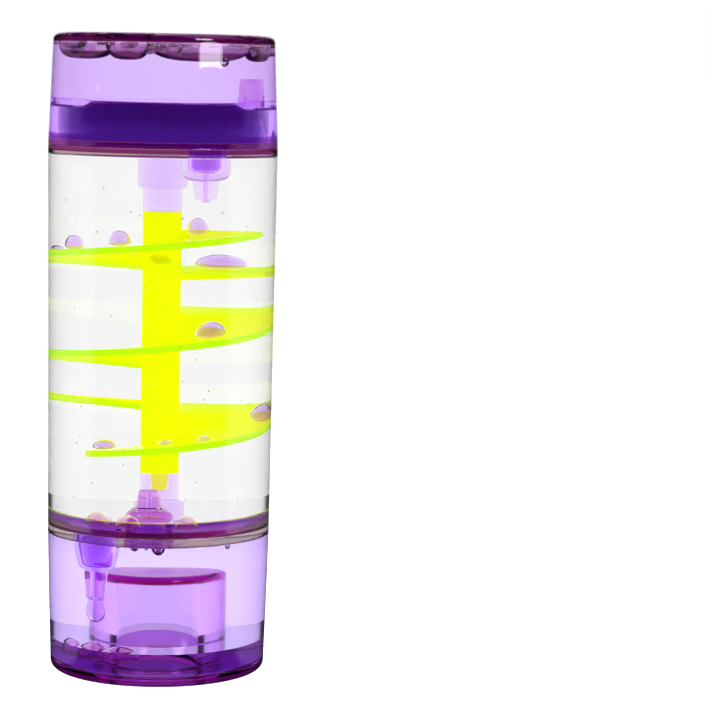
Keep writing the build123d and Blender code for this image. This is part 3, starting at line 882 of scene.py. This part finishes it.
def half_ball(subdivisions, way):
    """The upper half of a ball of radius 1, or the lower half where way is -1."""
    bm = bmesh.new()
    bmesh.ops.create_icosphere(bm, subdivisions=subdivisions, radius=1.0)
    cut = list(bm.verts) + list(bm.edges) + list(bm.faces)
    bmesh.ops.bisect_plane(bm, geom=cut, plane_co=(0, 0, 0), plane_no=(0, 0, -way),
                           clear_outer=True)
    bmesh.ops.holes_fill(bm, edges=[e for e in bm.edges if e.is_boundary], sides=0)
    bmesh.ops.recalc_face_normals(bm, faces=bm.faces)
    return bm


def domes(table, reach, z, way):
    """Half balls that stand on a level, or hang from it where way is -1."""
    made = []
    for angle, share, radius, height in table:
        bm = half_ball(4, way)
        bmesh.ops.scale(bm, vec=(radius * reach, radius * reach, height * reach),
                        verts=bm.verts)
        bmesh.ops.translate(bm, vec=round_point(angle, share * reach, z), verts=bm.verts)
        made.append(bm)
    return joined(*made)


piece("domes_centre", domes(CENTRE_DOMES, centre_reach, centre_seat, 1), "case", dome_water,
      "violet_liquid", "pool_drops_centre")
piece("domes_bottom", domes(BOTTOM_DOMES, bottom_reach, bottom_seat, 1), "case", dome_water,
      "violet_liquid", "pool_drops_bottom")

# %% Air under the top plate
ceiling_reach = top_radius - wall
# How far a bubble reaches into the plate, and the power that gives it its full sides
plate_lap, fullness = 0.08, 1.6
# Angle, distance from the axis, half length along the wall, half width and depth
CEILING = [(-149.0, 17.4, 8.3, 4.9, 4.1), (-113.0, 18.2, 4.7, 4.1, 4.1),
           (-64.0, 17.4, 11.6, 4.9, 4.2), (-20.0, 18.6, 4.4, 3.6, 4.1),
           (40.0, 14.5, 6.5, 5.0, 3.3), (110.0, 13.0, 7.5, 6.0, 3.3)]


def pocket(angle, reach, along, across, depth, z):
    """A flat bubble under a plate, bent round with the wall."""
    bm = half_ball(5, -1)
    for v in bm.verts:
        spread = min(v.co.x ** 2 + v.co.y ** 2, 1.0)
        drop = depth * (1 - spread ** fullness) ** 0.5
        v.co = round_point(angle + math.degrees(v.co.x * along / reach),
                           reach + v.co.y * across,
                           z - drop if v.co.z < -1e-5 else z + plate_lap)
    return bm


def bubble(radius, centre, subdivisions=2):
    """A ball of air."""
    bm = bmesh.new()
    bmesh.ops.create_icosphere(bm, subdivisions=subdivisions, radius=radius)
    bmesh.ops.translate(bm, vec=centre, verts=bm.verts)
    return bm


def foam(places, size, count, seed):
    """A cluster of tiny bubbles near the wall, between two angles."""
    draw = random.Random(seed)
    made = []
    for _ in range(count):
        radius = size * draw.uniform(0.5, 1.2)
        angle, reach = draw.uniform(*places), ceiling_reach - draw.uniform(0.75, 1.5)
        centre = round_point(angle, reach, ceiling_z - draw.uniform(0.3, 2.4))
        made.append(bubble(radius, centre))
    return made


pockets = [pocket(*sizes, ceiling_z) for sizes in CEILING]
round_one = bubble(1.05, (12.4, -18.4, 137.9), subdivisions=4)
piece("round_bubble", round_one, "case", air_pocket, "trapped_air")
piece("air_ceiling", joined(*pockets), "case", shaded_pocket, "trapped_air", "ceiling_bubbles")
foams = joined(*foam((-99, -81), 0.55, 45, 3), *foam((-36, -20), 0.5, 30, 5))
piece("air_foam", foams, "case", air_pocket, "trapped_air")
piece("air_divider", domes(UNDER_DIVIDER, bottom_reach, lower_joint_z, -1), "case",
      air_pocket, "trapped_air", "divider_bubbles")

# %% [markdown]
# ## Specks of air
# Tiny bubbles cling to the shoulder of the lower spout, and more of them float just inside
# the wall of the tube. Only its front gets them: the liquid is a strong lens, which would
# stretch a speck on the far wall into a dash.

# %% Specks
specks = []
draw = random.Random(11)
spout_x, spout_y = SPOUTS["lower_up_spout"][0]
shoulder_z = lower_joint_z + 7.2
on_shoulder, at_wall = 26, 70
for _ in range(on_shoulder):
    radius = draw.uniform(0.16, 0.34)
    turn, reach = math.radians(draw.uniform(0, 360)), draw.uniform(2.9, 4.2)
    centre = (spout_x + reach * math.cos(turn), spout_y + reach * math.sin(turn),
              shoulder_z + 0.3 - 1.1 * (reach - 2.9))
    specks.append(bubble(radius, centre))
for _ in range(at_wall):
    radius = draw.uniform(0.10, 0.22)
    level = draw.uniform(centre_pool_z + 3, tube_top_z - 3)
    angle = draw.uniform(-160, -20)
    specks.append(bubble(radius, round_point(angle, tube_wall_radius(level) - 0.4, level)))
piece("air_specks", joined(*specks), "case", air_pocket, "trapped_air")

# %% [markdown]
# ## Studio
# The object stands on white in front of a wide white backdrop, and the rest of the room is
# dim. That is what makes clear things readable: their edges bend the view round to the dim
# sides and go grey. The world shader paints the room by direction. A ray that has been
# through the object and was mirrored in it meets a room whose dim part starts much further
# round, or the inside of every wall would be dark. Rays that only pass through the object
# meet one narrow dim band at each side, which draws darker lines near its edges.

# %% The room by direction
# Where the dim sides start, as a turn away from the backdrop's middle: for rays mirrored
# inside the object, and for the others. FLAG is the narrow dim band.
INNER = (math.radians(100), math.radians(112))
OUTER = (math.radians(15), math.radians(24))
FLAG = ((math.radians(64), math.radians(67)), (math.radians(76), math.radians(80)))
# The cap's wall leans in, so what it mirrors lies near the horizon. More of that is dim.
LEAN_SHIFT = 0.75
backdrop_light, dim_light, flag_shade = 1.35, 0.015, 0.85


def turned_away(finish, vector):
    """How far a direction or a place is turned from straight behind the object."""
    parts = finish.node("ShaderNodeSeparateXYZ", None, {0: vector})
    x, y = (Flow(finish, parts.outputs[i]) for i in range(2))
    return finish.out("ShaderNodeMath", 0, {"operation": "ARCTAN2"}, {0: x.size(), 1: y})


def beside(finish, turn, within):
    """1 for directions to the dim sides. A ray mirrored inside the object meets it later."""
    deep, shallow = finish.smooth(turn, *INNER), finish.smooth(turn, *OUTER)
    return within * deep + (1 - within) * shallow


room = Finish(bpy.data.worlds.new("studio"))
scene.world = room.holder
side = turned_away(room, room.out("ShaderNodeTexCoord", "Generated"))
path = room.node("ShaderNodeLightPath")
within = Flow(room, path.outputs["Transmission Depth"]) > 0.5
mirrored = Flow(room, path.outputs["Glossy Depth"]) > 0.5
diffuse = Flow(room, path.outputs["Is Diffuse Ray"])
camera_ray = Flow(room, path.outputs["Is Camera Ray"])
seen_through = backdrop_light * (1 - flag_shade * room.band(side, *FLAG))
dim = dim_light + backdrop_light * (1 - beside(room, side + LEAN_SHIFT * within, within))
level = mirrored * dim + (1 - mirrored) * seen_through
level = diffuse + (1 - diffuse) * level
level = camera_ray + (1 - camera_ray) * level
sky = room.node("ShaderNodeBackground", None, {"Color": (1, 1, 1, 1), "Strength": level})
room.node("ShaderNodeOutputWorld", None, {"Surface": sky.outputs[0]})
print("room:", len(room.tree.nodes), "nodes")

# %% [markdown]
# The floor is lit paper whose painted glow fades into the backdrop. Under the foot the glow is
# violet, a painted shadow where the tinted plastic keeps the light off. For a mirrored ray it is
# dim to the sides, as the room is, and far out the shift of the room sets in, so that the two meet.

# %% Floor
floor_finish = Finish(bpy.data.materials.new("floor"))
grain = floor_finish.out("ShaderNodeTexNoise", "Fac", None, {"Scale": 30.0})
spot = floor_finish.out("ShaderNodeNewGeometry", "Position")
floor_reach = radius_of(floor_finish, spot)
far_away = floor_finish.smooth(floor_reach, 170, 240)
# Painted shadow: inside this reach the floor's glow is violet
outside_painted_shadow = floor_finish.smooth(floor_reach, 18.0, 21.5)
shine = floor_finish.colour(far_away, (1, 1, 1, 1), (0.79, 0.79, 0.79, 1))
paper = floor_finish.node("ShaderNodeBsdfPrincipled", None, {
    "Base Color": floor_finish.colour(grain, (0.19, 0.19, 0.19, 1), (0.21, 0.21, 0.21, 1)),
    "Roughness": 0.9,
    "Emission Color": floor_finish.colour(outside_painted_shadow, (0.20, 0.08, 0.34, 1), shine),
    "Emission Strength": 1.45,
})
dark_room = floor_finish.node("ShaderNodeEmission", None,
                              {"Color": (dim_light, dim_light, dim_light, 1)})
bounced = floor_finish.out("ShaderNodeLightPath", "Glossy Depth") > 0.5
within = floor_finish.out("ShaderNodeLightPath", "Transmission Depth") > 0.5
far_out = floor_finish.smooth(floor_reach, 2000, 2400) * within
front = beside(floor_finish, turned_away(floor_finish, spot) + LEAN_SHIFT * far_out, within)
both = floor_finish.node("ShaderNodeMixShader", None, {
    0: front * bounced, 1: paper.outputs[0], 2: dark_room.outputs[0]})
floor_finish.node("ShaderNodeOutputMaterial", None, {"Surface": both.outputs[0]})
floor_mesh = bpy.data.meshes.new("floor")
bm = bmesh.new()
bmesh.ops.create_grid(bm, x_segments=1, y_segments=1, size=40.0)
bm.to_mesh(floor_mesh)
bm.free()
floor_mesh.materials.append(floor_finish.holder)
floor = bpy.data.objects.new("floor", floor_mesh)
floor.location.z = -0.0002
scene.collection.objects.link(floor)
print("floor:", len(floor_finish.tree.nodes), "nodes")

# %% [markdown]
# Two lamps give the bright reflections. The soft box is the broad soft one at the right of
# the case. The window strip is long and low, and is mirrored by the cap's inner wall as a
# white rectangle between the top pool and the top plate. The wall leans in, which would
# skew that reflection, so the strip is rolled a little.

# %% Lamps


def area_lamp(name, size, energy, place, target, roll=0.0):
    """A rectangular lamp that faces a point, rolled about its own line by some degrees."""
    light = bpy.data.lights.new(name, "AREA")
    light.shape, light.size, light.size_y, light.energy = "RECTANGLE", *size, energy
    made = bpy.data.objects.new(name, light)
    aim = (Vector(target) - Vector(place)).to_track_quat("-Z", "Y").to_matrix().to_4x4()
    made.matrix_world = (Matrix.Translation(place) @ aim
                         @ Matrix.Rotation(math.radians(roll), 4, "Z"))
    scene.collection.objects.link(made)
    print(f"{name}: {energy} W from {place}")


area_lamp("soft_box", (0.25, 0.30), 3.0, (0.55, -0.60, 0.55), (0, 0, 0.12))
area_lamp("window_strip", (0.40, 0.013), 0.11, (0.687, -0.614, 0.2115),
          (0.0115, -0.0228, 0.1415), roll=-1.2)

# %% [markdown]
# ## Camera
# The photograph was taken from near the height of the top plate with a long lens. The
# position and the three angles were worked out from the rims of the case.

# %% Camera
lens = bpy.data.cameras.new("camera")
lens.lens, lens.sensor_width = 137.13, 36.0
lens.clip_start, lens.clip_end = 0.05, 20.0
camera = bpy.data.objects.new("camera", lens)
yaw, pitch, roll = (math.radians(a) for a in (4.142, 6.227, 1.153))
turn = (Matrix.Rotation(-yaw, 4, "Z") @ Matrix.Rotation(math.pi / 2 - pitch, 4, "X")
        @ Matrix.Rotation(roll, 4, "Z"))
camera.matrix_world = Matrix.Translation((0, -0.6137, 0.1390)) @ turn
scene.collection.objects.link(camera)
scene.camera = camera

# Light crosses many nested surfaces here, so it needs more bounces than usual
scene.view_settings.view_transform = "Standard"
scene.cycles.max_bounces = scene.cycles.transmission_bounces = 32
scene.cycles.transparent_max_bounces = 32
scene.cycles.glossy_bounces = 16
print("camera at", tuple(round(c, 4) for c in camera.matrix_world.translation))
